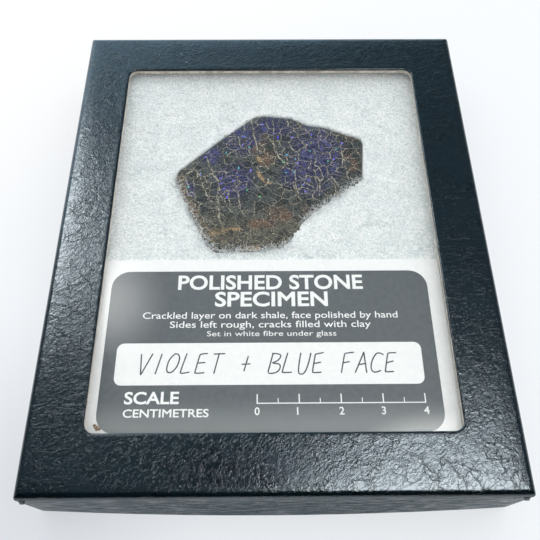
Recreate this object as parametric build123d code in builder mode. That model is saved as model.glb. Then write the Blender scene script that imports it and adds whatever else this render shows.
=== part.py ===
"""Glass-topped specimen display box.

A shallow grey-board box covered in embossed black paper. A full-depth lid with a glazed window lifts
straight up off a tray. The tray holds a block of white polyester fibre, and the fibre presses a polished
fossil-shell slab and a printed card up against the glass.

Millimetres. The origin is the centre of the resting face, +Z points up through the glass, and the card
lies on the -Y half, so the box is read from -Y.
"""

import os

from build123d import *

# Case: a common box size, 4.5 in by 5.5 in
case_width = 114.3
case_length = 139.7
case_height = 21.0

# Sheet materials
board = 1.5  # grey board of the lid and the tray
paper = 0.2  # embossed covering paper
stay_tape = 0.12  # gummed tape that stays the corners
fold_radius = 0.3  # inside radius of a folded board corner
overrun = 1.0  # how far a cut runs past the face that it opens

# Lid
lid_edge_radius = 1.5  # paper-covered top edge
lid_lift_gap = 0.7  # height of the lid's rim above the table
wall_bow = 1.5  # how far each lid wall swells at the middle of its rim
frame_side = 13.5  # frame width beside the window
frame_end = 14.0  # frame width above and below the window
window_radius = 2.6
lid_turn_in = 10.0  # covering paper turned up inside the rim
lid_stay_leg = 14.0

# Glazing
glass = 2.0
glass_clearance = 0.4  # all round, inside the lid walls
glass_seam = 0.25  # ground edge of the pane
strip_thickness = 1.2
strip_width = 3.0

# Tray
slip_clearance = 0.4  # lid turn-in to tray paper
rim_clearance = 0.1  # tray rim to the glazing strips
tray_edge_radius = 0.8
tray_turn_in = 9.0  # covering paper turned down inside the rim
tray_margin = 12.0  # covering paper turned under the tray
sheet_inset = 1.5  # bottom sheet, in from the tray's edge
tray_stay_leg = 12.0

# Contents
content_clearance = 0.3  # card and slab to the glass
fibre_clearance = 0.5  # fibre block to the tray walls
fibre_drop = 0.1  # fibre below the top of the card and the slab
fibre_radius = 3.8  # soft edges of the fibre block
pocket_clearance = 0.4  # round the slab and the card

card_length = 50.8  # with its side margins, a 3.5 in by 2 in printed card
card_thickness = 0.35
card_side_margin = 8.0  # card's sides to the sides of the fibre block
card_end_margin = 4.75  # card's lower edge to the end of the fibre block
card_shift = -0.6  # card's middle, off the box's middle

slab_width = 54.7
slab_length = 47.3
slab_thickness = 7.0
slab_gap = 2.3  # slab to the card's upper edge
slab_shift = -0.4  # slab's middle, off the box's middle
slab_undercut = 0.8  # the broken sides draw in this much from top to bottom
slab_chamfer = 0.35  # ground edge of the polished face
break_width = 3.0  # sloping break along the slab's lower left side
break_drop = 1.2
shell_layer = 0.8  # iridescent shell on the shale

# Slab outline, anticlockwise from its left corner, as shares of half its width and half its length
slab_outline_shares = [
    (-1.00, 0.02),
    (-0.96, -0.10),
    (-0.78, -0.56),
    (-0.62, -0.92),
    (-0.54, -1.00),
    (-0.14, -0.99),
    (0.12, -0.94),
    (0.21, -0.82),
    (0.31, -0.62),
    (0.44, -0.47),
    (0.80, -0.15),
    (0.96, 0.02),
    (1.00, 0.55),
    (0.98, 0.62),
    (0.59, 0.81),
    (0.40, 0.85),
    (0.24, 0.96),
    (-0.07, 1.00),
    (-0.17, 0.98),
    (-0.51, 0.64),
    (-0.96, 0.14),
]

# Heights and sizes that follow
lid_corner_radius = lid_edge_radius + paper
lid_wall = paper + board
lid_lining = lid_wall + paper
lid_underside = case_height - lid_wall
glass_bottom = lid_underside - glass
strip_bottom = glass_bottom - strip_thickness
window_width = case_width - 2 * frame_side
window_length = case_length - 2 * frame_end

tray_width = case_width - 2 * (lid_lining + slip_clearance)
tray_length = case_length - 2 * (lid_lining + slip_clearance)
tray_corner_radius = tray_edge_radius + paper
tray_rim = strip_bottom - rim_clearance
tray_wall = paper + board
tray_lining = tray_wall + paper
tray_floor = 2 * paper + board

content_top = glass_bottom - content_clearance
fibre_top = content_top - fibre_drop
fibre_width = tray_width - 2 * (tray_lining + fibre_clearance)
fibre_length = tray_length - 2 * (tray_lining + fibre_clearance)
card_bottom = content_top - card_thickness
card_width = fibre_width - 2 * card_side_margin
card_y = card_end_margin + card_length / 2 - fibre_length / 2
slab_bottom = content_top - slab_thickness
slab_y = card_y + card_length / 2 + slab_gap + slab_length / 2
shell_bottom = content_top - shell_layer
shell_undercut = slab_undercut * shell_layer / slab_thickness

corners = {
    "front_left": (-1, -1),
    "front_right": (1, -1),
    "rear_right": (1, 1),
    "rear_left": (-1, 1),
}


def bowed_rectangle(width, length, radius, bow):
    """Rounded rectangle, in the current sketch, whose four sides swell by bow at their middles."""
    x, y = width / 2, length / 2
    flat_x, flat_y = x - radius, y - radius
    round_x, round_y = (flat_x + radius * 0.5**0.5, flat_y + radius * 0.5**0.5)
    ends = [(-flat_x, -y), (flat_x, -y), (x, -flat_y), (x, flat_y)]
    ends += [(flat_x, y), (-flat_x, y), (-x, flat_y), (-x, -flat_y)]
    swells = [(0, -y - bow), (x + bow, 0), (0, y + bow), (-x - bow, 0)]
    rounds = [(round_x, -round_y), (round_x, round_y), (-round_x, round_y), (-round_x, -round_y)]
    with BuildLine() as outline:
        for side in range(4):
            first, last, after = ends[2 * side], ends[2 * side + 1], ends[(2 * side + 2) % 8]
            if bow > 0:
                ThreePointArc(first, swells[side], last)
            else:
                Line(first, last)
            ThreePointArc(last, rounds[side], after)
    make_face(outline.edges())


def lid_form(inset, top):
    """The lid's outer form drawn in by inset, from rim to top: bowed below the strips, straight above."""
    width, length = case_width - 2 * inset, case_length - 2 * inset
    radius = max(lid_corner_radius - inset, fold_radius)
    with BuildPart() as form:
        with BuildSketch(Plane.XY.offset(lid_lift_gap)):
            bowed_rectangle(width, length, radius, wall_bow)
        with BuildSketch(Plane.XY.offset(strip_bottom)):
            bowed_rectangle(width, length, radius, 0)
        loft(ruled=True)
        with BuildSketch(Plane.XY.offset(strip_bottom)):
            bowed_rectangle(width, length, radius, 0)
        extrude(amount=top - strip_bottom)
        if lid_edge_radius > inset:
            fillet(form.edges().group_by(Axis.Z)[-1], lid_edge_radius - inset)
    return form.part


def tray_form(inset, bottom, top):
    """The tray's outer form drawn in by inset, from bottom to top, with rounded lower edges."""
    radius = max(tray_corner_radius - inset, fold_radius)
    with BuildPart() as form:
        with BuildSketch(Plane.XY.offset(bottom)):
            RectangleRounded(tray_width - 2 * inset, tray_length - 2 * inset, radius)
        extrude(amount=top - bottom)
        if tray_edge_radius > inset:
            fillet(form.edges().group_by(Axis.Z)[0], tray_edge_radius - inset)
    return form.part


def slab_outline(spread):
    """The slab's outline, in the current sketch, with its half sizes grown by spread."""
    half_width, half_length = slab_width / 2 + spread, slab_length / 2 + spread
    with BuildLine() as outline:
        Polyline([(half_width * u, half_length * v) for u, v in slab_outline_shares], close=True)
    make_face(outline.edges())


def break_side():
    """Slope the current part's top down to the slab's lower left side, where the rock broke away."""
    ends = [slab_outline_shares[1], slab_outline_shares[3]]
    low = content_top - break_drop
    half_width, half_length = slab_width / 2, slab_length / 2
    first, last = [Vector(slab_shift + half_width * u, slab_y + half_length * v, low) for u, v in ends]
    along = (last - first).normalized()
    inward = along.rotate(Axis.Z, 90)
    rise = inward * break_width + Vector(0, 0, break_drop)
    split(bisect_by=Plane(first, x_dir=along, z_dir=along.cross(rise)), keep=Keep.BOTTOM)


def corner_box(corner, width, length, leg, low, high):
    """Keep only what lies within leg of one vertical corner of the current part, from low to high."""
    side_x, side_y = corner
    reach = leg + wall_bow + overrun
    centre_x = side_x * (width / 2 - leg + reach / 2)
    centre_y = side_y * (length / 2 - leg + reach / 2)
    with Locations((centre_x, centre_y, (low + high) / 2)):
        Box(reach, reach, high - low, mode=Mode.INTERSECT)


os.makedirs("parts", exist_ok=True)

# Lid corner stays: gummed tape pressed into the board round each upright corner
lid_stays = {}
for name, corner in corners.items():
    with BuildPart() as lid_stay:
        add(lid_form(paper, case_height - paper))
        add(lid_form(paper + stay_tape, case_height - paper - stay_tape), mode=Mode.SUBTRACT)
        corner_box(corner, case_width, case_length, lid_stay_leg, lid_lift_gap + paper, lid_underside)
    lid_stay.part.label = f"lid_corner_stay_{name}"
    lid_stays[name] = lid_stay.part
    export_step(lid_stay.part, f"parts/lid_corner_stay_{name}.step")

# Lid board: a panel with a die-cut window, and four walls folded down from it
with BuildPart() as lid_board:
    add(lid_form(paper, case_height - paper))
    add(lid_form(lid_wall, lid_underside), mode=Mode.SUBTRACT)
    split(bisect_by=Plane.XY.offset(lid_lift_gap + paper), keep=Keep.TOP)
    with BuildSketch(Plane.XY.offset(lid_underside - overrun)):
        RectangleRounded(window_width, window_length, window_radius)
    extrude(amount=board + 2 * overrun, mode=Mode.SUBTRACT)
    for stay in lid_stays.values():
        add(stay, mode=Mode.SUBTRACT)
lid_board.part.label = "lid_board"
export_step(lid_board.part, "parts/lid_board.step")

# Lid turn-in: the covering paper's margin, pasted up inside the lid walls
with BuildPart() as turn_in:
    add(lid_form(lid_wall, lid_underside))
    add(lid_form(lid_lining, lid_underside), mode=Mode.SUBTRACT)
    split(bisect_by=Plane.XY.offset(lid_lift_gap + lid_turn_in), keep=Keep.BOTTOM)

# Lid rim fold: the same paper where it passes under the board's cut edge
with BuildPart() as rim_fold:
    add(lid_form(0, case_height))
    add(lid_form(lid_lining, lid_underside), mode=Mode.SUBTRACT)
    split(bisect_by=Plane.XY.offset(lid_lift_gap + paper), keep=Keep.BOTTOM)

# Lid wrap: one sheet of embossed black paper, die-cut with the board at the window
with BuildPart() as lid_wrap:
    add(lid_form(0, case_height))
    add(lid_form(paper, case_height - paper), mode=Mode.SUBTRACT)
    with BuildSketch(Plane.XY.offset(lid_underside)):
        RectangleRounded(window_width, window_length, window_radius)
    extrude(amount=lid_wall + overrun, mode=Mode.SUBTRACT)
    add(rim_fold.part)
    add(turn_in.part)
lid_wrap.part.label = "lid_wrap"
export_step(lid_wrap.part, "parts/lid_wrap.step")

# Window pane: sheet glass with ground edges, laid in from below against the panel
pane_width = case_width - 2 * (lid_wall + glass_clearance)
pane_length = case_length - 2 * (lid_wall + glass_clearance)
with BuildPart() as window_glass:
    with BuildSketch(Plane.XY.offset(glass_bottom)):
        Rectangle(pane_width, pane_length)
    extrude(amount=glass)
    chamfer(window_glass.edges(), glass_seam)
window_glass.part.label = "window_glass"
export_step(window_glass.part, "parts/window_glass.step")

# Glazing strips: board bars glued to the lid walls under the pane, the side pair between the end pair
strip_x = case_width / 2 - lid_wall - strip_width / 2
strip_y = case_length / 2 - lid_wall - strip_width / 2
side_strip_length = pane_length - 2 * strip_width
strips = {
    "front": (0, -strip_y, pane_width, strip_width),
    "rear": (0, strip_y, pane_width, strip_width),
    "left": (-strip_x, 0, strip_width, side_strip_length),
    "right": (strip_x, 0, strip_width, side_strip_length),
}
for name, (centre_x, centre_y, size_x, size_y) in strips.items():
    with BuildPart() as glass_strip:
        with BuildSketch(Plane((centre_x, centre_y, strip_bottom))):
            Rectangle(size_x, size_y)
        extrude(amount=strip_thickness)
    glass_strip.part.label = f"glass_strip_{name}"
    export_step(glass_strip.part, f"parts/glass_strip_{name}.step")

# Tray corner stays
tray_stays = {}
for name, corner in corners.items():
    with BuildPart() as tray_stay:
        add(tray_form(paper, 2 * paper, tray_rim - paper))
        add(tray_form(paper + stay_tape, 2 * paper, tray_rim - paper), mode=Mode.SUBTRACT)
        corner_box(corner, tray_width, tray_length, tray_stay_leg, tray_floor, tray_rim - paper)
    tray_stay.part.label = f"tray_corner_stay_{name}"
    tray_stays[name] = tray_stay.part
    export_step(tray_stay.part, f"parts/tray_corner_stay_{name}.step")

# Tray board: a floor and four walls folded up from it
with BuildPart() as tray_board:
    add(tray_form(paper, 2 * paper, tray_rim - paper))
    with BuildSketch(Plane.XY.offset(tray_floor)):
        RectangleRounded(tray_width - 2 * tray_wall, tray_length - 2 * tray_wall, fold_radius)
    extrude(amount=tray_rim, mode=Mode.SUBTRACT)
    for stay in tray_stays.values():
        add(stay, mode=Mode.SUBTRACT)
tray_board.part.label = "tray_board"
export_step(tray_board.part, "parts/tray_board.step")

# Tray wrap: covering paper round the walls, turned in over the rim and under the floor
with BuildPart() as tray_wrap:
    add(tray_form(0, paper, tray_rim))
    add(tray_form(paper, 2 * paper, tray_rim - paper), mode=Mode.SUBTRACT)
    with BuildSketch(Plane.XY.offset(tray_rim - tray_turn_in)):
        RectangleRounded(tray_width - 2 * tray_wall, tray_length - 2 * tray_wall, fold_radius)
    extrude(amount=tray_turn_in)
    with BuildSketch(Plane.XY.offset(tray_floor)):
        RectangleRounded(tray_width - 2 * tray_lining, tray_length - 2 * tray_lining, fold_radius)
    extrude(amount=tray_rim, mode=Mode.SUBTRACT)
    with BuildSketch():
        Rectangle(tray_width - 2 * tray_margin, tray_length - 2 * tray_margin)
    extrude(amount=tray_floor, mode=Mode.SUBTRACT)
tray_wrap.part.label = "tray_wrap"
export_step(tray_wrap.part, "parts/tray_wrap.step")

# Bottom sheet: the same paper pasted over the turned-under margins, and the face that the box rests on
with BuildPart() as bottom_sheet:
    with BuildSketch():
        RectangleRounded(tray_width - 2 * sheet_inset, tray_length - 2 * sheet_inset, tray_corner_radius)
    extrude(amount=paper)
bottom_sheet.part.label = "bottom_sheet"
export_step(bottom_sheet.part, "parts/bottom_sheet.step")

# Fibre block: springy batting with soft edges, dented by the slab and the card that it presses up
with BuildPart() as fibre_block:
    with BuildSketch(Plane.XY.offset(tray_floor)):
        Rectangle(fibre_width, fibre_length)
    extrude(amount=fibre_top - tray_floor)
    fillet(fibre_block.edges(), fibre_radius)
    with BuildSketch(Plane((slab_shift, slab_y, slab_bottom))):
        slab_outline(pocket_clearance)
    extrude(amount=slab_thickness, mode=Mode.SUBTRACT)
    with BuildSketch(Plane((card_shift, card_y, card_bottom))):
        Rectangle(card_width + 2 * pocket_clearance, card_length + 2 * pocket_clearance)
    extrude(amount=card_thickness, mode=Mode.SUBTRACT)
fibre_block.part.label = "fibre_block"
export_step(fibre_block.part, "parts/fibre_block.step")

# Slab shale: the rock that backs the shell, with broken sides that draw in downwards
with BuildPart() as slab_shale:
    with BuildSketch(Plane((slab_shift, slab_y, slab_bottom))):
        slab_outline(-slab_undercut)
    with BuildSketch(Plane((slab_shift, slab_y, shell_bottom))):
        slab_outline(-shell_undercut)
    loft(ruled=True)
    break_side()
slab_shale.part.label = "slab_shale"
export_step(slab_shale.part, "parts/slab_shale.step")

# Slab shell: the iridescent layer on top of the shale, its polished face ground off at the edge
with BuildPart() as slab_shell:
    with BuildSketch(Plane((slab_shift, slab_y, shell_bottom))):
        slab_outline(-shell_undercut)
    with BuildSketch(Plane((slab_shift, slab_y, content_top - slab_chamfer))):
        slab_outline(0)
    with BuildSketch(Plane((slab_shift, slab_y, content_top))):
        slab_outline(-slab_chamfer)
    loft(ruled=True)
    break_side()
slab_shell.part.label = "slab_shell"
export_step(slab_shell.part, "parts/slab_shell.step")

# Label card: printed card laid on the fibre
with BuildPart() as label_card:
    with BuildSketch(Plane((card_shift, card_y, card_bottom))):
        Rectangle(card_width, card_length)
    extrude(amount=card_thickness)
label_card.part.label = "label_card"
export_step(label_card.part, "parts/label_card.step")
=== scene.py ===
import math
import random

import bmesh
import bpy
from mathutils import Matrix, Vector, kdtree, noise


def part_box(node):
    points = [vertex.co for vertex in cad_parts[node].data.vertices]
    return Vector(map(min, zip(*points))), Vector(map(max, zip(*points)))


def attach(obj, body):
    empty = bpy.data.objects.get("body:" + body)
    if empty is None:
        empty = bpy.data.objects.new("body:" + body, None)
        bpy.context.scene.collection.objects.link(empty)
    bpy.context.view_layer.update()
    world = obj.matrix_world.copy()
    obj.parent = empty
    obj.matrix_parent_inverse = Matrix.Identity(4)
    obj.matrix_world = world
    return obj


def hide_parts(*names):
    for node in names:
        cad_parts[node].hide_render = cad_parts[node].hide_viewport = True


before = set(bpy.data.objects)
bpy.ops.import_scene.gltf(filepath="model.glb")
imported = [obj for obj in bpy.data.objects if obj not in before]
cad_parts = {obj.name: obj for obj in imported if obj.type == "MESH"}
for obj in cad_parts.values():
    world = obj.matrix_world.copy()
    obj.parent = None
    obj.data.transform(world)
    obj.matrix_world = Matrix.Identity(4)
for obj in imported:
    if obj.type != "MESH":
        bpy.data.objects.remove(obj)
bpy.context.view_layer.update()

# Tray board
# Grey board pressed from waste paper: a floor with four walls creased and folded up from it.
# Its fibres leave it a speckled warm pale grey, matte, with soft pulp lumps.
mm = 0.001


def paint(red, green, blue):
    """A colour as the eye reads it off a screen, 0 to 255, for a shader socket."""
    shares = [value / 255 for value in (red, green, blue)]
    return tuple(s / 12.92 if s < 0.04045 else ((s + 0.055) / 1.055) ** 2.4 for s in shares) + (1.0,)


def plug(tree, socket, value):
    """Link an input to another node's output, or set it to a plain value."""
    if isinstance(value, bpy.types.NodeSocket):
        tree.links.new(value, socket)
    else:
        socket.default_value = value


def add(tree, kind, inputs=None, **settings):
    """Add a shader node to a tree, set its options, and set or link each input."""
    node = tree.nodes.new("ShaderNode" + kind)
    for option, value in settings.items():
        setattr(node, option, value)
    for place, value in (inputs or {}).items():
        plug(tree, node.inputs[place], value)
    return node


def bare_material(name):
    """A new material and its node tree."""
    material = bpy.data.materials.new(name)
    material.use_nodes = True
    return material, material.node_tree


def start_material(name):
    """A new material with its node tree and the coordinates of the piece that wears it."""
    material, tree = bare_material(name)
    return material, tree, add(tree, "TexCoord").outputs["Object"]


def coat(tree, finish):
    """Set or link inputs of the material's own shader."""
    for name, value in finish.items():
        plug(tree, tree.nodes["Principled BSDF"].inputs[name], value)


def relief(height, distance, strength, sunk=False):
    """Emboss the surface by a height, or sink it."""
    tree = height.id_data
    inputs = {"Height": height, "Distance": distance, "Strength": strength}
    coat(tree, {"Normal": add(tree, "Bump", inputs, invert=sunk).outputs["Normal"]})


def cloudy(place, scale, detail=2.0):
    """A soft random value."""
    inputs = {"Vector": place, "Scale": scale, "Detail": detail}
    return add(place.id_data, "TexNoise", inputs).outputs["Fac"]


def remap(value, low, high, to_low=0.0, to_high=1.0):
    """Stretch a value from one range to another, clamped and eased at both ends."""
    inputs = {"Value": value, "From Min": low, "From Max": high, "To Min": to_low, "To Max": to_high}
    return add(value.id_data, "MapRange", inputs, interpolation_type="SMOOTHSTEP").outputs["Result"]


def blend(share, first, second):
    """Mix two colours by a share."""
    inputs = {0: share, 6: first, 7: second}
    return add(share.id_data, "Mix", inputs, data_type="RGBA").outputs[2]


def shade(value, low, high, first, second):
    """Go from one colour to another as a value passes from low to high."""
    return blend(remap(value, low, high), first, second)


def dress(material, *names):
    """Give CAD pieces a material."""
    for name in names:
        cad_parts[name].material_slots[0].material = material


def grey_board_material():
    """Matte speckled board with a pulpy surface."""
    material, tree, place = start_material("grey_board")
    pulp = cloudy(place, 420.0, 5.0)
    speck = add(tree, "TexVoronoi", {"Vector": place, "Scale": 900.0}).outputs["Distance"]
    ground = shade(pulp, 0.35, 0.65, paint(186, 177, 166), paint(224, 217, 206))
    flecked = shade(speck, 0.16, 0.06, ground, paint(108, 100, 92))
    coat(tree, {"Base Color": flecked, "Roughness": 0.92, "Specular IOR Level": 0.25})
    relief(pulp, 0.08 * mm, 0.6)
    return material


grey_board = grey_board_material()
dress(grey_board, "tray_board")

# Corner stays
# Gummed kraft tape, pressed round the upright corners of the tray and of the lid before they are covered.
# It is brown, thin and faintly ribbed along its length.


def mottled(place, scale, detail, spread, dark, light):
    """A colour that wavers between two, over a spread of a soft random value about its middle."""
    return shade(cloudy(place, scale, detail), 0.5 - spread, 0.5 + spread, dark, light)


def stay_tape_material():
    """Brown kraft tape with fine ribs."""
    material, tree, place = start_material("stay_tape")
    wave = {"Vector": place, "Scale": 260.0, "Distortion": 1.5}
    ribs = add(tree, "TexWave", wave, bands_direction="Z").outputs["Fac"]
    colour = mottled(place, 600.0, 4.0, 0.2, paint(150, 112, 74), paint(182, 142, 100))
    coat(tree, {"Base Color": colour, "Roughness": 0.7})
    relief(ribs, 0.02 * mm, 0.5)
    return material


corners = ("front_left", "front_right", "rear_right", "rear_left")
stay_tape = stay_tape_material()
dress(stay_tape, *[f"{part}_corner_stay_{corner}" for part in ("tray", "lid") for corner in corners])

# Tray covering and bottom sheet
# Black book-cloth paper, embossed with a leather grain: long wandering creases, small wrinkles between them
# and a fine pebble. It is pasted over the walls, turned in and under, and closed by a sheet below.


def maths(operation, first, second=0.0):
    """One sum on two values."""
    tree = (first if isinstance(first, bpy.types.NodeSocket) else second).id_data
    return add(tree, "Math", {0: first, 1: second}, operation=operation).outputs[0]


def times(first, second):
    """One value times another."""
    return maths("MULTIPLY", first, second)


def vectors(operation, first, second=(0.0, 0.0, 0.0)):
    """One sum on two vectors, which gives a vector, or a value for a length or a dot product."""
    node = add(first.id_data, "VectorMath", {0: first, 1: second}, operation=operation)
    return node.outputs["Value" if operation in ("LENGTH", "DOT_PRODUCT") else "Vector"]


def axis(vector, name):
    """One axis of a vector."""
    return add(vector.id_data, "SeparateXYZ", {0: vector}).outputs[name]


def bend(place, drift, reach):
    """Coordinates pushed about at random, by a drift's scale, detail and roughness and as far as a reach."""
    tree = place.id_data
    inputs = dict(zip(("Vector", "Scale", "Detail", "Roughness"), (place, *drift)))
    cloud = add(tree, "TexNoise", inputs).outputs["Color"]
    push = vectors("SUBTRACT", cloud, (0.5, 0.5, 0.5))
    push = add(tree, "VectorMath", {0: push, "Scale": reach}, operation="SCALE").outputs[0]
    return vectors("ADD", place, push)


def laid(place, size, tilt=0.0):
    """Coordinates counted in a pattern's own size, with the pattern turned by a tilt in degrees."""
    inputs = {"Vector": place, "Rotation": (0.0, 0.0, math.radians(tilt)), "Scale": size}
    return add(place.id_data, "Mapping", inputs, vector_type="TEXTURE").outputs[0]


def covering_paper_material():
    """Embossed blue-black paper with a varnished skin; its creases get painted shade, and on the walls a
    streaky painted reflection takes the place of its shine.
    """
    material, tree, place = start_material("covering_paper")
    bent = bend(place, (480.0, 3.0, 0.6), 2.8 * mm)
    cells = add(tree, "TexVoronoi", {"Vector": bent, "Scale": 300.0}, feature="DISTANCE_TO_EDGE")
    cells = cells.outputs["Distance"]
    swirl = cloudy(laid(bent, wrinkle_size, grain_tilt), 1.0)
    grain = {"Vector": laid(bent, grain_size, grain_tilt), "Scale": 1.0}
    grain = add(tree, "TexVoronoi", grain).outputs["Distance"]
    grain = maths("SUBTRACT", 1.0, grain)
    fold = remap(maths("ABSOLUTE", maths("SUBTRACT", swirl, 0.5)), 0.0, 0.05)
    patchy = cloudy(place, 150.0, 1.0)
    pebble = cloudy(place, 2400.0)
    smooth = remap(patchy, 0.46, 0.58)
    lip = maths("SUBTRACT", remap(cells, 0.2, 0.04), smooth)
    lip = maths("MAXIMUM", lip, 0.0)
    crease = maths("MAXIMUM", remap(cells, 0.0, 0.045), smooth)
    height = times(crease, crease_depth)
    for layer, depth in ((lip, lip_depth), (fold, fold_depth), (grain, grain_depth), (pebble, pebble_depth)):
        height = maths("ADD", height, times(layer, depth))
    streak = cloudy(laid(place, streak_size), 1.0, 3.0)
    facing = add(tree, "NewGeometry").outputs["True Normal"]
    wall = remap(maths("ABSOLUTE", axis(facing, "Z")), 0.4, 0.12)
    # Painted reflection: on the walls the paper's shine is turned almost off and painted in as colour
    # instead, in streaks.
    painted_reflection_share = times(wall, remap(streak, 0.32, 0.62, 0.86, 1.0))
    skin = shade(patchy, 0.3, 0.7, paint(2, 12, 17), paint(4, 16, 22))
    # Painted shade: the skin is painted darker along the crease lines.
    skin = blend(crease, paint(3, 5, 6), skin)
    # Painted reflection: the walls are painted a streaky grey-blue, standing in for the white table they
    # reflect, with painted shade in their hollows.
    painted_wall_reflection = shade(streak, 0.35, 0.65, paint(58, 72, 80), paint(78, 92, 100))
    raised = times(crease, remap(grain, 0.35, 0.7, 0.5, 1.0))
    painted_wall_reflection = blend(raised, paint(44, 56, 63), painted_wall_reflection)
    hollow = times(crease, remap(fold, 0.0, 1.0, 0.5, 1.0))
    shine = remap(hollow, 0.0, 1.0, 0.55, 1.0)
    # The walls' real shine is cut to almost nothing where the painted reflection stands in for it.
    shine = times(shine, remap(painted_reflection_share, 0.0, 1.0, 1.0, 0.002))
    gloss = remap(pebble, 0.3, 0.7, 0.16, 0.22)
    coat(tree, {"Base Color": blend(wall, skin, painted_wall_reflection), "Roughness": gloss})
    coat(tree, {"Specular IOR Level": shine, "Specular Tint": (0.84, 0.94, 1.0, 1.0)})
    relief(height, 1.0, 1.0)
    return material


grain_tilt = 38
wrinkle_size = (4.0 * mm, 1.1 * mm, 1.0 * mm)
grain_size = (1.1 * mm, 0.7 * mm, 0.8 * mm)
streak_size = (5.0 * mm, 5.0 * mm, 0.9 * mm)
crease_depth = 0.017 * mm
lip_depth = 0.015 * mm
fold_depth = 0.011 * mm
grain_depth = 0.024 * mm
pebble_depth = 0.012 * mm
covering_paper = covering_paper_material()
dress(covering_paper, "tray_wrap", "bottom_sheet")

# Fibre block
# White polyester batting, cut to the tray and squeezed flat by the glass, with soft shoulders and drawn-in
# sides. The slab has pressed a pocket into it, and the card a shallow seat.


def show(name, data):
    """Put a mesh, a curve or a camera into the scene."""
    piece = bpy.data.objects.new(name, data)
    bpy.context.scene.collection.objects.link(piece)
    return piece


def shade_smooth(mesh):
    """Shade every face of a mesh as part of a curved surface."""
    mesh.polygons.foreach_set("use_smooth", [True] * len(mesh.polygons))


def finish_mesh(name, bm, *materials):
    """Turn a bmesh into a smooth-shaded object in the scene."""
    mesh = bpy.data.meshes.new(name)
    bm.to_mesh(mesh)
    bm.free()
    for material in materials:
        mesh.materials.append(material)
    shade_smooth(mesh)
    return show(name, mesh)


def put(bm, size, place, verts):
    """Size new vertices about the origin, then move them to their place."""
    bmesh.ops.scale(bm, vec=size, verts=verts)
    bmesh.ops.translate(bm, vec=place, verts=verts)


def only(kind, geom):
    """The vertices or the edges among what an operator made."""
    return [part for part in geom if isinstance(part, kind)]


def slab_ring(spread):
    """The slab's outline, read from the foot of its rock and grown by spread, anticlockwise."""
    low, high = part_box("slab_shale")
    foot = [v.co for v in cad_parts["slab_shale"].data.vertices if v.co.z < low.z + 0.1 * mm]
    middle = 0.5 * (low + high)
    points = {(round(co.x - middle.x, 6), round(co.y - middle.y, 6)) for co in foot}
    points = sorted(points, key=lambda point: math.atan2(point[1], point[0]))
    grow_x = 1 + spread / max(abs(x) for x, y in points)
    grow_y = 1 + spread / max(abs(y) for x, y in points)
    return [Vector((middle.x + x * grow_x, middle.y + y * grow_y)) for x, y in points]


def sides_of(ring):
    """The start and the end of each side of a closed outline."""
    return list(zip(ring, ring[1:] + ring[:1]))


def outward(first, last):
    """The direction out of an outline at one of its sides."""
    return Vector(((last - first).y, -(last - first).x)).normalized()


def along_ring(ring):
    """Points close together along a closed outline, each with its outward direction, and a search tree."""
    marks = []
    for first, last in sides_of(ring):
        count = math.ceil((last - first).length / ring_step)
        out = outward(first, last)
        marks += [(first.lerp(last, (step + 0.5) / count), out) for step in range(count)]
    tree = kdtree.KDTree(len(marks))
    for number, (point, _) in enumerate(marks):
        tree.insert(point.to_3d(), number)
    tree.balance()
    return marks, tree


def to_ring(outline, spot):
    """Nearest point of an outline to a spot, and the signed distance to it, negative inside."""
    marks, tree = outline
    found = tree.find((spot[0], spot[1], 0.0))
    point, out = marks[found[1]]
    side = (spot[0] - point.x) * out.x + (spot[1] - point.y) * out.y
    return point, math.copysign(found[2], side)


def batting_material():
    """Matted white fibres: crossing streaks in several directions, with soft hollows between them, and
    painted shade that greys the colour where the surface is low.
    """
    material, tree, place = start_material("batting")
    mat = None
    for angle in (12, 63, 108, 151):
        streak = cloudy(laid(place, (2.2 * mm, 0.3 * mm, 1.2 * mm), angle), 1.0)
        mat = streak if mat is None else maths("MAXIMUM", mat, streak)
    hollow = cloudy(place, 150.0, 4.0)
    speck = cloudy(place, 1900.0)
    tuft = maths("ADD", remap(mat, 0.53, 0.74), times(hollow, 0.6))
    tuft = maths("ADD", tuft, remap(speck, 0.32, 0.68, -0.4, 0.4))
    # Painted shade: the colour follows the relief's height, blue-grey in the low spots and white on the
    # tufts.
    colour = shade(tuft, 0.0, 1.0, paint(215, 224, 227), paint(255, 255, 255))
    coat(tree, {"Base Color": colour, "Roughness": 0.95, "Specular IOR Level": 0.15, "Sheen Weight": 0.25})
    relief(tuft, 0.25 * mm, 0.4)
    return material


fibre_low, fibre_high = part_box("fibre_block")
card_low, card_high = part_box("label_card")
shale_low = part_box("slab_shale")[0]
ring_step = 0.1 * mm
slab_undercut = 0.8 * mm
pocket_gap = 0.15 * mm
pocket = along_ring(slab_ring(slab_undercut + pocket_gap))
fibre_cell = 0.9 * mm
fibre_shoulder = 3.4 * mm
dimple_depth = 0.16 * mm
heave_reach = 2.4 * mm
heave_level = card_high.z - 0.04 * mm
seat_gap = 0.08 * mm
side_draw_share = 0.985
side_near_share = 0.97


def fibre_top(x, y):
    """Height of the batting: dimpled, heaved up round the slab, lower at its shoulders and under the card."""
    dimple = noise.noise(Vector((x, y, 0.0)) * 210) + 0.5 * noise.noise(Vector((x, y, 0.1)) * 620)
    height = fibre_high.z - dimple_depth * (1 + dimple)
    rim = min(x - fibre_low.x, fibre_high.x - x, y - fibre_low.y, fibre_high.y - y)
    short = max(fibre_shoulder - rim, 0.0)
    height -= fibre_shoulder - math.sqrt(max(fibre_shoulder**2 - short**2, 0.0))
    clear = to_ring(pocket, (x, y))[1]
    if clear < heave_reach:
        height += max(heave_level - height, 0.0) * (1 - max(clear, 0.0) / heave_reach) ** 2
    under = min(x - card_low.x, card_high.x - x, card_high.y - y, y - card_low.y)
    if under > -fibre_cell:
        height = min(height, card_low.z - seat_gap)
    return height


def drawn_in(value, reach, draw):
    """One coordinate of a side wall, set to a share of the block's reach where it lies on that wall."""
    return math.copysign(reach * draw if abs(value) > side_near_share * reach else abs(value), value)


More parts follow.
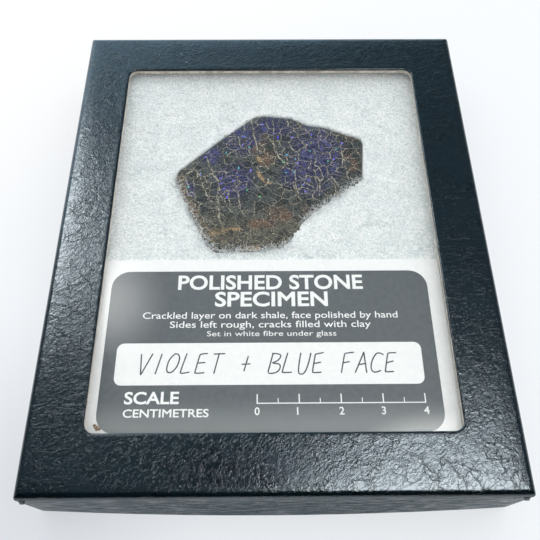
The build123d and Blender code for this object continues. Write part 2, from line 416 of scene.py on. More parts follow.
bm = bmesh.new()
columns = round((fibre_high.x - fibre_low.x) / fibre_cell)
rows = round((fibre_high.y - fibre_low.y) / fibre_cell)
bmesh.ops.create_grid(bm, x_segments=columns, y_segments=rows, size=0.5)
put(bm, fibre_high - fibre_low, 0.5 * (fibre_low + fibre_high), bm.verts)
for vert in bm.verts:
    nearest, gap = to_ring(pocket, vert.co.xy)
    if abs(gap) < 0.55 * fibre_cell:
        vert.co.xy = nearest
inside = [face for face in bm.faces if to_ring(pocket, face.calc_center_median().xy)[1] < 0]
bmesh.ops.delete(bm, geom=inside, context="FACES")
for vert in bm.verts:
    vert.co.z = fibre_top(vert.co.x, vert.co.y)
open_edges = [edge for edge in bm.edges if edge.is_boundary]
pocket_edges = [edge for edge in open_edges if abs(to_ring(pocket, edge.verts[0].co.xy)[1]) < fibre_cell]
wall_edges = [edge for edge in open_edges if edge not in pocket_edges]
pocket_wall = bmesh.ops.extrude_edge_only(bm, edges=pocket_edges)["geom"]
for vert in only(bmesh.types.BMVert, pocket_wall):
    vert.co.z = shale_low.z
bmesh.ops.holes_fill(bm, edges=only(bmesh.types.BMEdge, pocket_wall))
for height_share, draw in ((0.5, side_draw_share), (0.16, 1.0), (0.0, side_draw_share)):
    wall = bmesh.ops.extrude_edge_only(bm, edges=wall_edges)["geom"]
    wall_edges = only(bmesh.types.BMEdge, wall)
    for vert in only(bmesh.types.BMVert, wall):
        vert.co.z = fibre_low.z + height_share * (fibre_high.z - fibre_shoulder - fibre_low.z)
        vert.co.xy = (drawn_in(vert.co.x, fibre_high.x, draw), drawn_in(vert.co.y, fibre_high.y, draw))
bmesh.ops.holes_fill(bm, edges=wall_edges)
bmesh.ops.recalc_face_normals(bm, faces=bm.faces)
fibre_pad = finish_mesh("fibre_pad", bm, batting_material())
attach(fibre_pad, "tray")
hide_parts("fibre_block")

# Loose fibres
# Single strands that stand out of the batting: a random mat over its face, and wisps that lap over the slab's
# lower edges where it was pushed in under them.


def mottled_material(name, scale, detail, spread, dark, light, roughness):
    """A plain finish whose colour wavers between two."""
    material, tree, place = start_material(name)
    coat(tree, {"Base Color": mottled(place, scale, detail, spread, dark, light), "Roughness": roughness})
    return material


def round_curve(name, radius, sides):
    """An empty curve whose lines will be drawn as round strands."""
    curve = bpy.data.curves.new(name, "CURVE")
    curve.dimensions = "3D"
    curve.bevel_depth = radius
    curve.bevel_resolution = sides
    curve.use_fill_caps = True
    return curve


def lay_strand(curve, points, kind="POLY"):
    """Add one strand through a row of points."""
    spline = curve.splines.new(kind)
    spline.points.add(len(points) - 1)
    for target, point in zip(spline.points, points):
        target.co = (*point, 1.0)
    return spline


glass_low, glass_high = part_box("window_glass")
content_top = card_high.z
strand_radius = 0.02 * mm
wisp_radius = 0.03 * mm
strand_steps = 6
strand_count = 2600
wisp_count = 1000
wisp_offset = 0.1
wisp_spread = 0.5
least_points = 3
strand = mottled_material("strand", 1500.0, 2.0, 0.15, paint(200, 208, 211), paint(255, 255, 255), 0.5)
ring = slab_ring(slab_undercut)
rim = along_ring(ring)
dice = random.Random(11)
mat_curve = round_curve("loose_fibres", strand_radius, 0)
wisp_curve = round_curve("slab_wisps", wisp_radius, 0)


def wander(start, heading, step, lift, over_slab):
    """Points of a strand that bends at random over the batting, and over the slab where it may."""
    points, bend_rate = [], dice.uniform(-0.5, 0.5)
    for _ in range(strand_steps + 1):
        x, y = start
        on_slab = to_ring(rim, start)[1] < 0
        on_card = card_low.x < x < card_high.x and card_low.y < y < card_high.y
        off_pad = abs(x) > fibre_high.x or abs(y) > fibre_high.y
        if on_card or off_pad or (on_slab and not over_slab):
            break
        ground = content_top if on_slab else fibre_top(x, y)
        points.append((x, y, min(ground + lift, glass_low.z - 2 * strand_radius)))
        heading += bend_rate + dice.uniform(-0.3, 0.3)
        lift = max(strand_radius, lift + dice.uniform(-0.04, 0.04) * mm)
        start = (x + step * math.cos(heading), y + step * math.sin(heading))
    return points


for _ in range(strand_count):
    start = (dice.uniform(fibre_low.x, fibre_high.x), dice.uniform(card_high.y, fibre_high.y))
    lift = dice.uniform(0.02, 0.2) * mm
    points = wander(start, dice.uniform(0, math.tau), dice.uniform(0.8, 1.7) * mm, lift, False)
    if len(points) >= least_points:
        lay_strand(mat_curve, points)
slopes = [(a, b, (b - a).y / max((b - a).x, 0.01 * mm)) for a, b in sides_of(ring)]
lower_edges = [(a, b) for a, b, slope in slopes if -3.0 < slope < 1.4]
lengths = [(b - a).length for a, b in lower_edges]
for _ in range(wisp_count):
    a, b = dice.choices(lower_edges, lengths)[0]
    start = a.lerp(b, dice.random()) + outward(a, b) * dice.gauss(wisp_offset, wisp_spread) * mm
    lift = dice.uniform(0.03, 0.22) * mm
    points = wander(tuple(start), dice.uniform(0, math.tau), dice.uniform(0.16, 0.42) * mm, lift, True)
    if len(points) >= least_points:
        lay_strand(wisp_curve, points)
for curve in (mat_curve, wisp_curve):
    curve.materials.append(strand)
    strands = show(curve.name, curve)
    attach(strands, "tray")

# Slab rock
# Dark shale that backs the shell, split from a bed and broken off all round.
# Its sides are rough and layered, and it beds in the pocket of the batting.


def worked_copy(name, node, voxel):
    """A copy of a CAD piece remeshed into even small faces, ready for vertex moves."""
    bm = bmesh.new()
    bm.from_mesh(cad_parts[node].data)
    bmesh.ops.remove_doubles(bm, verts=bm.verts, dist=0.001 * mm)
    rough = finish_mesh(name + "_start", bm)
    remesh = rough.modifiers.new("even", "REMESH")
    remesh.voxel_size = voxel
    solid = rough.evaluated_get(bpy.context.evaluated_depsgraph_get())
    mesh = bpy.data.meshes.new_from_object(solid)
    bpy.data.objects.remove(rough)
    shade_smooth(mesh)
    return show(name, mesh)


def move_skin(piece, rule):
    """Move every vertex of a piece by a rule that takes its place and its normal."""
    mesh = piece.data
    normals = [vert.normal.copy() for vert in mesh.vertices]
    moved = [rule(vert.co, normal) for vert, normal in zip(mesh.vertices, normals)]
    mesh.vertices.foreach_set("co", [value for place in moved for value in place])
    mesh.update()


def rock_material():
    """Layered dark shale with rusty bands."""
    material, tree, place = start_material("shale")
    beds = add(tree, "Mapping", {"Vector": place, "Scale": (120.0, 120.0, 1400.0)}).outputs[0]
    bed = cloudy(beds, 1.0, 4.0)
    grit = cloudy(place, 1300.0, 4.0)
    stain = cloudy(place, 220.0, 3.0)
    stone = shade(bed, 0.35, 0.65, paint(48, 42, 36), paint(98, 86, 70))
    stone = shade(stain, 0.52, 0.66, stone, paint(112, 74, 48))
    stone = shade(grit, 0.58, 0.72, stone, paint(176, 160, 132))
    coat(tree, {"Base Color": stone, "Roughness": 0.85})
    relief(maths("ADD", bed, grit), 0.2 * mm, 0.8)
    return material


rock_voxel = 0.45 * mm
chip_depth = 0.3 * mm
slab_rock = worked_copy("slab_rock", "slab_shale", rock_voxel)


def chip_rock(place, normal):
    """Break back the sides in ragged beds."""
    if abs(normal.z) > 0.6:
        return place
    bed = Vector((place.x * 300, place.y * 300, place.z * 1500))
    ragged = 0.5 + 0.5 * noise.turbulence(bed, 3, False)
    return place - Vector((normal.x, normal.y, 0.0)) * chip_depth * min(ragged, 1.0)


move_skin(slab_rock, chip_rock)
slab_rock.data.materials.append(rock_material())
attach(slab_rock, "tray")
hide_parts("slab_shale")

# Slab shell
# Fossil shell, polished: a dark crackled sheet whose plates flash violet and blue, cemented along the cracks
# with tan clay, stained with rust, and worn through to olive rock towards its lower edge.


def soft_spot(place, centre, radii, tilt):
    """A soft-edged oval on a flat surface: 1 in its middle, 0 at its edge."""
    moved = vectors("SUBTRACT", place, (*centre, 0.0))
    oval = laid(moved, (*radii, 1.0), tilt)
    return remap(vectors("LENGTH", oval), 1.15, 0.45)


def spots(place, table):
    """Several soft ovals together, from rows of centre, half sizes and tilt in millimetres and degrees."""
    total = None
    for x, y, across, along, tilt in table:
        spot = soft_spot(place, (x * mm, y * mm), (across * mm, along * mm), tilt)
        total = spot if total is None else maths("MAXIMUM", total, spot)
    return total


def shell_material():
    """Crackled iridescent shell."""
    material, tree, place = start_material("shell")
    bent = bend(place, (260.0, 4.0, 0.65), 2.0 * mm)
    cracks = []
    for across, along, lean, width in ((3.2, 2.4, 12.0, 0.05), (1.3, 1.0, -20.0, 0.06)):
        inputs = {"Vector": laid(bent, (across * mm, along * mm, 1.0), lean), "Scale": 1.0}
        edge = add(tree, "TexVoronoi", inputs, feature="DISTANCE_TO_EDGE", voronoi_dimensions="2D")
        cell = add(tree, "TexVoronoi", inputs, voronoi_dimensions="2D")
        shades = add(tree, "SeparateColor", {0: cell.outputs["Color"]}).outputs
        cracks.append((remap(edge.outputs["Distance"], width, 0.2 * width), shades))
    (plate_crack, plate), (fine_crack, chip) = cracks
    grain = cloudy(place, 2300.0, 3.0)
    cloud = cloudy(place, 200.0, 3.0)
    row = axis(bent, "Y")
    slate = blend(times(chip[0], plate[2]), paint(4, 10, 14), paint(86, 92, 90))
    olive = blend(chip[0], paint(26, 27, 22), paint(96, 91, 76))
    navy = blend(plate[0], paint(4, 8, 60), paint(24, 22, 80))
    navy = blend(remap(chip[1], 0.62, 1.0, 0.0, 0.9), navy, paint(64, 60, 132))
    lit = times(spots(place, violet_spots), remap(plate[1], 0.0, 0.25, 0.55, 1.0))
    lit = times(lit, remap(cloud, 0.24, 0.36))
    rusty = blend(chip[2], paint(112, 76, 50), paint(62, 42, 36))
    stain = times(spots(place, rust_spots), remap(cloud, 0.4, 0.6))
    ochre = shade(grain, 0.4, 0.6, paint(104, 84, 58), paint(190, 152, 98))
    dusty = times(spots(place, dust_spots), remap(chip[0], 0.2, 0.8, 0.15, 0.8))
    clay = shade(grain, 0.4, 0.6, paint(104, 98, 84), paint(206, 196, 170))
    torn = shade(grain, 0.45, 0.58, paint(62, 46, 38), paint(158, 146, 120))
    broken = times(spots(place, broken_spots), remap(chip[1], 0.2, 0.5))
    pits = remap(grain, 0.45, 0.34, 0.0, 0.6)
    fleck = times(remap(grain, 0.56, 0.64), remap(cloud, 0.42, 0.66, 0.05, 0.5))
    patchy = remap(cloud, 0.36, 0.52, 0.3, 0.92)
    patchy = times(patchy, remap(row, 2.0 * mm, 13.0 * mm, 0.5, 1.0))
    worn = remap(axis(place, "Z"), content_top - 0.2 * mm, content_top - 0.42 * mm)
    edge_rock = shade(grain, 0.42, 0.6, paint(58, 50, 42), paint(158, 144, 118))
    colour = shade(row, 7.0 * mm, 0.0, slate, olive)
    layers = (
        (lit, navy),
        (stain, rusty),
        (spots(place, ochre_spots), ochre),
        (dusty, ochre),
        (broken, torn),
        (pits, paint(14, 14, 15)),
        (fleck, clay),
        (times(fine_crack, 0.3), clay),
        (times(plate_crack, patchy), clay),
        (worn, edge_rock),
    )
    for share, layer in layers:
        colour = blend(share, colour, layer)
    gloss = remap(maths("MAXIMUM", worn, plate_crack), 0.0, 1.0, 0.3, 0.75)
    coat(tree, {"Base Color": colour, "Roughness": gloss})
    relief(maths("MAXIMUM", plate_crack, fine_crack), 0.06 * mm, 0.8, sunk=True)
    return material


violet_spots = (
    (12.5, 25.0, 10.0, 12.5, 0.0),
    (-8.5, 30.5, 6.5, 7.0, 25.0),
    (-17.5, 25.0, 3.6, 4.0, 0.0),
    (-10.5, 16.0, 7.0, 7.0, 0.0),
    (-23.5, 13.0, 2.4, 3.4, 0.0),
    (0.5, 35.5, 8.0, 4.6, 0.0),
    (5.5, 17.5, 3.8, 4.6, 0.0),
    (11.5, 14.0, 5.0, 4.0, 0.0),
)
rust_spots = (
    (-2.5, 27.0, 3.4, 8.0, 12.0),
    (4.5, 5.5, 7.0, 4.0, 12.0),
    (23.0, 25.0, 2.6, 10.0, 0.0),
    (-15.0, -1.8, 5.6, 2.4, 0.0),
    (-7.0, -6.4, 3.4, 1.8, 0.0),
    (23.0, 15.5, 4.0, 2.0, 20.0),
    (-3.0, 1.5, 5.0, 2.0, 0.0),
)
broken_spots = ((-22.4, 4.6, 2.0, 13.5, 23.6), (-26.2, 16.6, 2.2, 2.4, 0.0))
ochre_spots = ((-3.1, 17.5, 0.7, 2.8, 30.0), (-0.9, 15.2, 1.0, 0.5, -12.0), (-3.6, 23.6, 0.8, 1.4, 25.0))
dust_spots = ((-14.8, -0.8, 3.6, 1.3, 4.0), (-10.0, -0.1, 2.6, 0.9, 0.0), (-5.2, -6.1, 2.8, 1.1, 8.0))
face_voxel = 0.3 * mm
face_wave = 0.05 * mm
worn_edge = 1.2 * mm
nibble_depth = 0.25 * mm
side_chip = 0.22 * mm
slab_face = worked_copy("slab_face", "slab_shell", face_voxel)


def wear_face(place, normal):
    """Leave the polished face a little wavy, nibble its edge and break back its sides."""
    if normal.z > 0.5:
        drop = face_wave * (1 - noise.noise(place * 320))
        gap = -to_ring(rim, place)[1]
        if gap < worn_edge:
            drop += nibble_depth * noise.turbulence(place * 700, 2, True) * (1 - gap / worn_edge)
        return place - Vector((0.0, 0.0, drop))
    if normal.z > -0.5:
        ragged = 0.5 + 0.5 * noise.turbulence(place * 600, 3, False)
        return place - Vector((normal.x, normal.y, 0.0)) * side_chip * ragged
    return place


move_skin(slab_face, wear_face)
slab_face.data.materials.append(shell_material())
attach(slab_face, "tray")
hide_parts("slab_shell")

# Clay veins and flakes
# The widest cracks of the shell, filled with grey-tan clay and ground flush, and the brightest flakes of its
# mother-of-pearl, which flash a clear violet, blue or green.


def flake_material():
    """Bright shell flakes, each with its own hue."""
    material, tree, place = start_material("flake")
    cell = add(tree, "TexVoronoi", {"Vector": place, "Scale": 260.0}).outputs["Color"]
    pick = add(tree, "SeparateColor", {0: cell}).outputs
    hue = shade(pick[0], 0.45, 0.5, paint(96, 72, 255), paint(136, 118, 246))
    hue = shade(pick[1], 0.74, 0.78, hue, paint(84, 196, 206))
    hue = shade(pick[2], 0.86, 0.9, hue, paint(90, 216, 140))
    coat(tree, {"Base Color": hue, "Roughness": 0.35})
    return material


def drawn_mesh(curve):
    """The mesh of a curve or of a line of type, which is used up."""
    drawn = show(curve.name, curve)
    mesh = bpy.data.meshes.new_from_object(drawn.evaluated_get(bpy.context.evaluated_depsgraph_get()))
    bpy.data.objects.remove(drawn)
    bpy.data.curves.remove(curve)
    return mesh


def flat_strands(name, curve, flatten, level, material):
    """Strands drawn on the XY plane, pressed flat and laid at a level, as one piece."""
    mesh = drawn_mesh(curve)
    bm = bmesh.new()
    bm.from_mesh(mesh)
    bpy.data.meshes.remove(mesh)
    put(bm, (1.0, 1.0, flatten), (0.0, 0.0, level), bm.verts)
    return finish_mesh(name, bm, material)


vein_width = 0.42 * mm
vein_step = 0.8
vein_jitter = 0.14
vein_flatten = 0.16
vein_level = content_top - 0.03 * mm
flake_thick = 0.05 * mm
vein_paths = (
    ((-6.0, 38.2), (-5.5, 35.0), (-4.8, 31.0), (-3.8, 27.0), (-2.4, 25.6)),
    ((0.4, 38.2), (0.8, 34.0), (0.5, 30.0), (1.2, 27.0), (2.2, 24.8), (3.6, 22.4), (3.4, 19.6)),
    ((5.0, 30.0), (6.2, 27.0), (7.2, 26.0), (10.0, 28.4), (12.6, 30.4)),
    ((14.4, 35.0), (14.6, 33.0), (14.4, 30.0)),
    ((12.6, 27.2), (13.1, 24.0), (12.4, 22.0), (14.2, 19.6), (14.6, 17.0), (13.6, 14.5), (13.4, 10.0)),
    ((-18.8, 25.0), (-18.3, 22.0), (-17.0, 19.0), (-15.2, 16.0), (-14.4, 11.0), (-12.0, 7.0), (-10.8, 5.0)),
    ((-19.6, 15.4), (-18.2, 11.0), (-16.0, 8.0), (-14.6, 6.0), (-14.6, 3.4), (-13.8, 1.0)),
    ((-10.2, 15.0), (-9.8, 12.0), (-9.0, 9.0), (-8.6, 6.0), (-7.0, 3.4)),
    ((-24.6, 14.4), (-23.0, 9.0), (-22.0, 5.0), (-20.2, 2.0), (-18.6, -2.0), (-16.4, -5.6)),
    ((6.8, 20.0), (6.8, 16.0), (7.0, 12.0), (7.2, 8.0)),
    ((9.8, 17.6), (13.0, 17.2), (14.0, 15.0)),
    ((-24.6, 18.6), (-21.5, 20.0), (-19.8, 16.2)),
    ((17.0, 17.5), (18.6, 15.0), (19.2, 13.2)),
    ((20.0, 29.0), (21.0, 24.0), (21.6, 19.0), (22.0, 15.4)),
)
flakes = (
    (-8.2, 32.0), (-8.5, 29.0), (-6.5, 28.0), (-13.2, 26.0), (-19.2, 24.4), (-9.5, 20.5), (-14.5, 17.0),
    (-14.3, 15.0), (-13.5, 13.3), (-11.0, 16.0), (-7.0, 12.8), (-6.0, 19.5), (-23.5, 14.0), (-23.5, 11.5),
    (3.5, 22.6), (4.5, 25.2), (7.0, 23.5), (6.5, 19.0), (7.7, 22.2), (9.5, 12.2), (10.6, 16.2), (0.8, 33.0),
    (-2.7, 36.5), (12.0, 32.6), (6.2, 31.6), (11.3, 26.5), (20.8, 29.3), (19.0, 27.2), (2.0, 31.5),
    (4.2, 18.8), (-3.4, 10.6), (-12.6, 10.4), (-20.4, 18.4), (16.4, 22.8), (18.2, 23.6), (9.0, 14.6),
)
vein_dice = random.Random(3)
vein_curve = round_curve("clay_veins", 0.5 * vein_width, 1)
for path in vein_paths:
    points = []
    for first, last in zip(path, path[1:]):
        steps = math.ceil(math.dist(first, last) / vein_step)
        for step in range(steps):
            spot = Vector(first).lerp(Vector(last), step / steps) * mm
            stray = [vein_dice.gauss(0, vein_jitter) * mm for _ in spot]
            points.append((spot.x + stray[0], spot.y + stray[1], 0.0))
    for point in lay_strand(vein_curve, points).points:
        point.radius = vein_dice.uniform(0.3, 1.25)
clay = mottled_material("vein_clay", 1500.0, 3.0, 0.12, paint(84, 80, 71), paint(182, 174, 154), 0.7)
clay_veins = flat_strands("clay_veins", vein_curve, vein_flatten, vein_level, clay)
bm = bmesh.new()
for x, y in flakes:
    flake = bmesh.ops.create_uvsphere(bm, u_segments=8, v_segments=4, radius=0.5)["verts"]
    long, wide = vein_dice.uniform(0.6, 1.2) * mm, vein_dice.uniform(0.34, 0.6) * mm
    bmesh.ops.scale(bm, vec=(long, wide, flake_thick), verts=flake)
    turn = Matrix.Rotation(vein_dice.choice((0.2, 0.5, 1.4)), 3, "Z")
    bmesh.ops.rotate(bm, matrix=turn, verts=flake)
    bmesh.ops.translate(bm, vec=(x * mm, y * mm, vein_level), verts=flake)
shell_flakes = finish_mesh("shell_flakes", bm, flake_material())
for piece in (clay_veins, shell_flakes):
    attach(piece, "tray")

# Label card
# White uncoated card, printed with a grey panel that leaves a white field to write in.
# It lies on the batting in its own shallow seat, a little proud of it.
card_colours = (paint(243, 243, 244), paint(248, 248, 248))
dress(mottled_material("card_stock", 900.0, 4.0, 0.2, *card_colours, 0.6), "label_card")

# Card printing
# Grey ink laid solid over a rounded panel, with the field and the letters left as white card.
# The words are plain ones, and a scale in centimetres fills the foot of the panel.


def panel_ink_material():
    """Grey printing ink with a slight mottle, with a painted reflection that makes it paler at the foot of
    the card.
    """
    material, tree, place = start_material("panel_ink")
    ink = mottled(place, 700.0, 3.0, 0.2, paint(76, 80, 83), paint(84, 88, 91))
    # Painted reflection: the ink is painted paler towards the foot of the card, standing in for glare on the
    # glass.
    foot = remap(axis(place, "Y"), -46 * mm, -55 * mm)
    coat(tree, {"Base Color": blend(foot, ink, paint(126, 129, 130)), "Roughness": 0.5})
    return material


def bar(bm, left, right, near, far, level):
    """A plain printed bar, its edges in millimetres, lying at a level on the card."""
    made = bmesh.ops.create_cube(bm, size=1.0)["verts"]
    size = ((right - left) * mm, (far - near) * mm, print_layer)
    put(bm, size, ((right + left) / 2 * mm, (far + near) / 2 * mm, level), made)


def crisp_print(name, bm, material):
    """Finish a printed piece with crisp edges, on the card."""
    piece = finish_mesh(name, bm, material)
    piece.data.set_sharp_from_angle(angle=math.radians(30))
    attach(piece, "tray")


def printed_patch(name, left, right, near, far, corner, level, material):
    """A bar with rounded corners, as a piece of its own."""
    bm = bmesh.new()
    bar(bm, left, right, near, far, level)
    uprights = [edge for edge in bm.edges if abs(edge.verts[0].co.z - edge.verts[1].co.z) > 0.5 * print_layer]
    bmesh.ops.bevel(
        bm, geom=uprights, offset=corner * mm, affect="EDGES", segments=8, profile=0.5, material=-1
    )
    crisp_print(name, bm, material)


def type_line(words, weight):
    """A line of upright letters as a mesh at the origin, made from the built-in face."""
    type_curve = bpy.data.curves.new("line", "FONT")
    type_curve.body = words
    type_curve.bevel_depth = weight
    type_curve.bevel_resolution = 0
    type_curve.resolution_u = 4
    type_curve.extrude = 0.5 - weight
    return drawn_mesh(type_curve)


def set_type(bm, words, left, right, baseline, cap, weight):
    """Set a line of type between two edges in millimetres, or at its own width, on a baseline."""
    mesh = type_line(words, weight)
    start = min(v.co.x for v in mesh.vertices)
    wide = max(v.co.x for v in mesh.vertices) - start
    tall = max(v.co.y for v in type_line("H", weight).vertices)
    stretch = cap * mm / tall if right is None else (right - left) * mm / wide
    place = Matrix.Translation((left * mm - start * stretch, baseline * mm, letter_level))
    mesh.transform(place @ Matrix.Diagonal((stretch, cap * mm / tall, print_layer, 1.0)))
    bm.from_mesh(mesh)
    bpy.data.meshes.remove(mesh)


print_layer = 0.03 * mm
panel_level = card_high.z + 0.5 * print_layer
letter_level = panel_level + print_layer
paper_white = mottled_material("paper_white", 700.0, 3.0, 0.2, *card_colours, 0.6)
type_lines = (
    ("POLISHED STONE", -24.6, 23.4, -18.2, 4.0, 0.024),
    ("SPECIMEN", -14.9, 14.1, -23.0, 4.0, 0.024),
    ("Crackled layer on dark shale, face polished by hand", -33.0, 31.6, -26.4, 1.75, 0.004),
    ("Sides left rough, cracks filled with clay", -26.0, 24.6, -28.9, 1.75, 0.004),
    ("Set in white fibre under glass", -16.6, 15.8, -31.2, 1.35, 0.0),
    ("SCALE", -35.6, -22.6, -48.2, 2.9, 0.024),
    ("CENTIMETRES", -35.6, -15.4, -51.4, 1.9, 0.016),
)
scale_start = -4.0
scale_foot = -48.2
scale_length = 4
printed_patch("card_panel", -41.8, 40.2, -55.2, -13.0, 4.6, panel_level, panel_ink_material())
printed_patch("card_field", -38.6, 36.5, -43.7, -33.0, 1.8, letter_level, paper_white)
bm = bmesh.new()
for line in type_lines:
    set_type(bm, *line)
for number in range(scale_length + 1):
    tick = scale_start + 10.0 * number
    bar(bm, tick - 0.14, tick + 0.14, scale_foot, -46.0, letter_level)
    set_type(bm, str(number), tick - 0.6, None, -51.0, 1.8, 0.01)
    if number < scale_length:
        bar(bm, tick + 4.9, tick + 5.1, scale_foot, -47.0, letter_level)
bar(bm, -4.14, 36.14, -48.35, -48.1, letter_level)
crisp_print("card_letters", bm, paper_white)

# Handwriting
# Words written in the field with a fine violet-black pen, in quick slanting capitals.
# The ink stands on the card as a thin raised line.
pen_width = 0.34 * mm
pen_flatten = 0.15
pen_slant = 0.22
pen_jitter = 0.16 * mm
capitals = {
    "V": (((0, 1), (0.45, 0), (0.5, 0), (1, 1)),),
    "I": (((0.5, 1), (0.45, 0)),),
    "O": (((0.5, 1), (0, 0.8), (0, 0.1), (0.6, 0), (1, 0.4), (0.9, 1), (0.4, 1)),),
    "L": (((0.1, 1), (0, 0.1), (0.05, 0), (0.9, 0.05)),),
    "E": (((0.8, 1), (0.1, 0.95), (0.05, 0.9), (0, 0.1), (0.05, 0), (0.9, 0.05)), ((0.05, 0.5), (0.7, 0.55))),
    "T": (((0, 0.95), (1, 1)), ((0.5, 1), (0.45, 0))),
    "+": (((0.1, 0.45), (0.9, 0.5)), ((0.5, 0.85), (0.5, 0.1))),
    "B": (((0.1, 1), (0, 0)), ((0, 0.95), (0.9, 1), (0.8, 0.6), (0.1, 0.5), (1.1, 0.45), (0.9, 0), (0, 0))),
    "U": (((0, 1), (0, 0.1), (0.4, -0.05), (0.9, 0.1), (0.9, 1)),),
    "F": (((0.9, 1), (0.1, 0.95), (0.05, 0.9), (0, 0)), ((0.05, 0.5), (0.7, 0.55))),
    "A": (((0, 0), (0.5, 1), (0.55, 1), (1, 0)), ((0.2, 0.4), (0.85, 0.45))),
    "C": (((1, 0.9), (0.5, 1.05), (0, 0.7), (0, 0.2), (0.5, -0.05), (1, 0.1)),),
    " ": (),
}
words = "VIOLET + BLUE FACE"
word_left = -33.5
word_right = 30.5
word_foot = -40.9
word_cap = 5.2
letter_share = 0.74
advance = (word_right - word_left) / len(words)
hand = random.Random(5)
pen_curve = round_curve("handwriting", pen_width / 2, 2)
for number, letter in enumerate(words):
    for stroke in capitals[letter]:
        points = []
        for across, up in stroke:
            x = word_left + advance * (number + letter_share * across) + pen_slant * word_cap * up
            y = word_foot + word_cap * up
            stray = [hand.gauss(0, 0.5) * pen_jitter for _ in (x, y)]
            points.append((x * mm + stray[0], y * mm + stray[1], 0.0))
        line = lay_strand(pen_curve, points, "NURBS")
        line.order_u = 3
        line.use_endpoint_u = True
        line.resolution_u = 6
ink = mottled_material("pen_ink", 700.0, 3.0, 0.2, paint(50, 45, 58), paint(72, 65, 80), 0.5)
handwriting = flat_strands("handwriting", pen_curve, pen_flatten, letter_level + 0.5 * print_layer, ink)
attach(handwriting, "tray")

# Lid board
# The same grey board as the tray's, with a window cut out of its top panel by a die.
# The raw cut shows as a pale line round the window.
dress(grey_board, "lid_board")

# Lid covering
# The same black paper, pasted over the board in one piece. It rolls a little way over the edge of the window,
# rounds the top edge, swells with the walls and turns up inside the rim.


def rounded_loop(half, radius, height):
    """A closed row of points round a rounded rectangle, anticlockwise, the same number for any size."""
    row = []
    for turn, (side_x, side_y) in enumerate(((1, -1), (1, 1), (-1, 1), (-1, -1))):
        centre = Vector((side_x * (half[0] - radius), side_y * (half[1] - radius), height))
        arc = []
        for step in range(loop_corner + 1):
            angle = math.radians(90 * (turn - 1 + step / loop_corner))
            arc.append(centre + radius * Vector((math.cos(angle), math.sin(angle), 0.0)))
        if row:
            row += [row[-1].lerp(arc[0], step / loop_side) for step in range(1, loop_side)]
        row += arc
    return row + [row[-1].lerp(row[0], step / loop_side) for step in range(1, loop_side)]


def skin_rows(bm, rows):
    """Join closed rows of points into one skin, each row drawn out from the one before it."""
    order = bm.verts.layers.int.new("order")
    start = bmesh.ops.create_circle(bm, segments=len(rows[0]), radius=1.0)["verts"]
    start = sorted(start, key=lambda vert: math.atan2(vert.co.y, vert.co.x) % math.tau)
    edges = list(bm.edges)
    for number, vert in enumerate(start):
        vert[order] = number
        vert.co = rows[0][number]
    for row in rows[1:]:
        drawn = bmesh.ops.extrude_edge_only(bm, edges=edges)["geom"]
        edges = only(bmesh.types.BMEdge, drawn)
        for vert in only(bmesh.types.BMVert, drawn):
            vert.co = row[vert[order]]


wrap_low, wrap_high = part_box("lid_wrap")
board_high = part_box("lid_board")[1]
strip_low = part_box("glass_strip_front")[0]
paper = 0.95 * (wrap_high.z - board_high.z)
wall_bow = 1.5 * mm
bow_reach = 3 * mm
case_side = wall_bow - 0.018 * mm
half_case = Vector((wrap_high.x - case_side, wrap_high.y - case_side))
frame_side = 13.5 * mm
frame_end = 14.0 * mm
half_window = half_case - Vector((frame_side, frame_end))
window_radius = 2.6 * mm
window_roll = (
    (0.08, 0.66), (0.14, 0.4), (0.12, 0.19), (0.02, 0.08), (-0.14, 0.03), (-0.4, 0.01), (-0.8, 0.0),
)
top = wrap_high.z
top_steps = 12
top_ripple = 0.02 * mm
top_round = 1.65 * mm
round_steps = 8
round_ripple = 0.01 * mm
edge_drop = 0.09 * mm
edge_start = 0.7
corner_round = 0.6 * mm
least_round = 0.2 * mm
wall_rows = (17.5, 16.1, 13.5, 11.0, 8.5, 6.0, 3.5, 1.6, 0.9)
lining = 1.9 * mm
lining_round = 0.4 * mm
lining_rows = (1.0, 4.0, 7.0, 10.7)
loop_corner = 6
loop_side = 44


def bowed(point):
    """Swell the walls below the glazing strips, most at the middle of the rim."""
    share = max(strip_low.z - point.z, 0.0) / (strip_low.z - wrap_low.z)
    swell = wall_bow * min(share, 1.0)
    out = point.copy()
    if abs(point.x) > half_case.x - bow_reach:
        out.x += math.copysign(swell * (1 - (point.y / half_case.y) ** 2), point.x)
    if abs(point.y) > half_case.y - bow_reach:
        out.y += math.copysign(swell * (1 - (point.x / half_case.x) ** 2), point.y)
    return out


def case_row(inset, radius, height):
    """A row of points round the bowed walls, set in from the outside by an inset."""
    half = half_case - Vector((inset, inset))
    return [bowed(point) for point in rounded_loop(half, radius, height)]


rows = []
for roll, drop in window_roll:
    half = (half_window.x - roll * mm, half_window.y - roll * mm)
    rows.append(rounded_loop(half, window_radius - roll * mm, top - drop * mm))
inner = half_window + Vector((0.8 * mm, 0.8 * mm))
outer = half_case - Vector((top_round, top_round))
for step in range(1, top_steps):
    share = step / top_steps
    row = rounded_loop(inner.lerp(outer, share), window_radius * (1 - share) + least_round * share, top)
    for point in row:
        point.z -= top_ripple * (1 + noise.noise(Vector((point.x, point.y, 0.0)) * 90))
        point.z -= edge_drop * max(share - edge_start, 0.0) ** 2 / 0.3**2
    rows.append(row)
for step in range(round_steps + 1):
    angle = math.radians(90 * step / round_steps)
    inset = top_round * (1 - math.sin(angle))
    radius = max(corner_round - 0.35 * inset, least_round)
    height = top - edge_drop - (top_round - edge_drop) * (1 - math.cos(angle))
    row = rounded_loop((half_case.x - inset, half_case.y - inset), radius, height)
    for point in row:
        slack = math.sin(2 * angle) * round_ripple * (1 + noise.noise(Vector((point.x, point.y, 0.0)) * 140))
        point.z -= slack
        point.xy *= 1 - 0.4 * slack / half_case.x
    rows.append(row)
rows += [case_row(0.0, corner_round, height * mm) for height in wall_rows]
rows.append(case_row(0.15 * mm, corner_round, wrap_low.z))
rows.append(case_row(lining - 0.1 * mm, lining_round, wrap_low.z))
